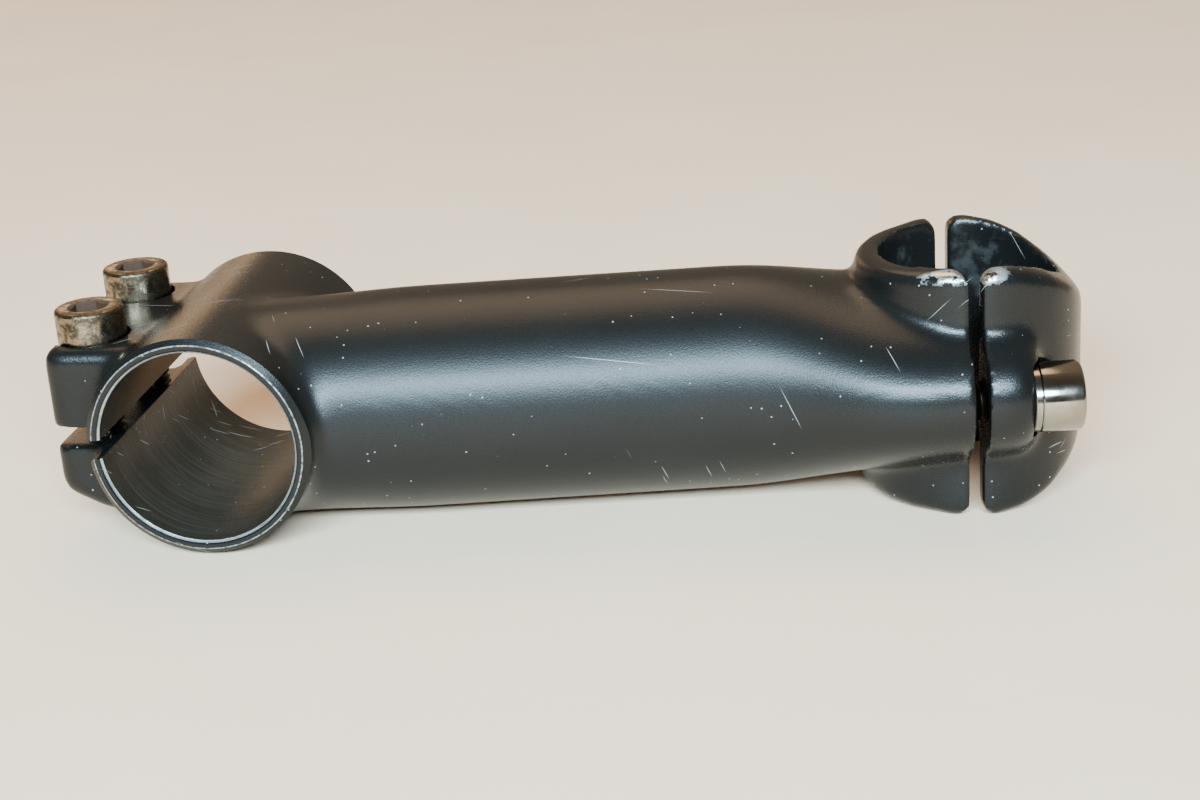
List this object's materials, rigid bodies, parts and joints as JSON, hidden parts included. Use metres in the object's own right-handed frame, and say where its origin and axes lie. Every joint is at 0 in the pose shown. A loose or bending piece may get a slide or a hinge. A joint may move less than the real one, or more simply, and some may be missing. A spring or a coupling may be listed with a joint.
{
  "type": "handlebar stem",
  "caption": "Threadless handlebar stem: slit steerer clamp with pinch bolts, round hollow extension, and a handlebar clamp with a removable bolted faceplate.",
  "frame": {"origin": "middle of the steerer clamp, on the steerer axis", "axes": "+Y along the steerer towards the end that the extension rises to, +Z along the handlebar, +X from the steerer towards the handlebar; the stem lies on its side"},
  "size_m": [0.1488, 0.0559, 0.037],
  "materials": {
    "black_aluminium": "satin black",
    "plated_steel": "worn plating",
    "bright_steel": "polished"
  },
  "bodies": {
    "stem": {"stem_body": "black_aluminium"},
    "faceplate": {"faceplate": "black_aluminium", "lower_face_washer": "bright_steel", "upper_face_washer": "bright_steel"},
    "lower_face_bolt": {"lower_face_bolt": "bright_steel"},
    "upper_face_bolt": {"upper_face_bolt": "bright_steel"},
    "lower_pinch_washer": {"lower_pinch_washer": "plated_steel"},
    "lower_pinch_bolt": {"lower_pinch_bolt": "plated_steel"},
    "upper_pinch_washer": {"upper_pinch_washer": "plated_steel"},
    "upper_pinch_bolt": {"upper_pinch_bolt": "plated_steel"}
  },
  "joints": [
    {"name": "faceplate_slide", "type": "slide", "parent": "stem", "child": "faceplate", "axis": [0.9903, 0.1392, 0], "range_m": [0, 0.03]},
    {"name": "lower_face_bolt_turn", "type": "hinge", "parent": "faceplate", "child": "lower_face_bolt", "pos_m": [0.10986, -0.00788, 0], "axis": [0.9903, 0.1392, 0], "range_deg": [0, 10800]},
    {"name": "upper_face_bolt_turn", "type": "hinge", "parent": "faceplate", "child": "upper_face_bolt", "pos_m": [0.10503, 0.02648, 0], "axis": [0.9903, 0.1392, 0], "range_deg": [0, 10800]},
    {"name": "lower_pinch_slide", "type": "slide", "parent": "stem", "child": "lower_pinch_washer", "axis": [0, 0, 1], "range_m": [0, 0.022]},
    {"name": "lower_pinch_bolt_turn", "type": "hinge", "parent": "lower_pinch_washer", "child": "lower_pinch_bolt", "pos_m": [-0.01775, -0.01025, 0], "axis": [0, 0, 1], "range_deg": [0, 7920]},
    {"name": "upper_pinch_slide", "type": "slide", "parent": "stem", "child": "upper_pinch_washer", "axis": [0, 0, 1], "range_m": [0, 0.022]},
    {"name": "upper_pinch_bolt_turn", "type": "hinge", "parent": "upper_pinch_washer", "child": "upper_pinch_bolt", "pos_m": [-0.01775, 0.01025, 0], "axis": [0, 0, 1], "range_deg": [0, 7920]}
  ],
  "couplings": [
    {"joint": "lower_face_bolt_turn", "follows": "faceplate_slide", "rad_per_m": 6283.2},
    {"joint": "upper_face_bolt_turn", "follows": "faceplate_slide", "rad_per_m": 6283.2},
    {"joint": "lower_pinch_bolt_turn", "follows": "lower_pinch_slide", "rad_per_m": 6283.2},
    {"joint": "upper_pinch_bolt_turn", "follows": "upper_pinch_slide", "rad_per_m": 6283.2}
  ]
}
